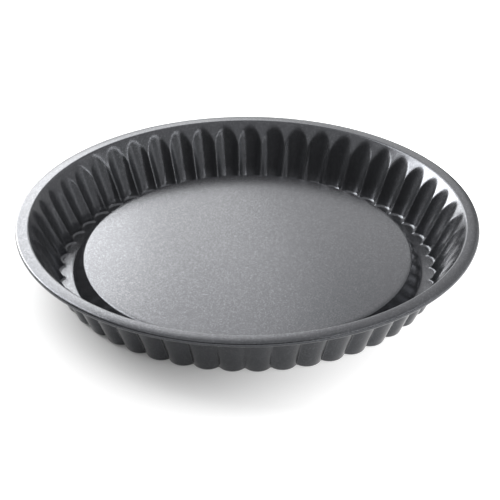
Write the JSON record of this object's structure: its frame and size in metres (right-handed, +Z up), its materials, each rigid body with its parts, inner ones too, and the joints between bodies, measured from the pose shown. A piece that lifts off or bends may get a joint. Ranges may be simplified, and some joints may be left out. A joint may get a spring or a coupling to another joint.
{
  "type": "tart pan",
  "caption": "Shallow round tart pan of pressed coated steel with a fluted flared wall, a raised centre, a flat trough round it and a lip rolled over a wire.",
  "frame": {"origin": "centre of the flat ring under the trough that the pan stands on", "axes": "+Z up out of the mouth, +X through the middle of one flute"},
  "size_m": [0.3, 0.3, 0.038],
  "materials": {
    "nonstick_steel": "dark grey semi-gloss non-stick coating with a fine metallic fleck",
    "bare_wire": "drawn steel wire, hidden in the bead"
  },
  "bodies": {
    "root": {"pan_shell": "nonstick_steel", "rim_wire": "bare_wire"}
  },
  "joints": []
}
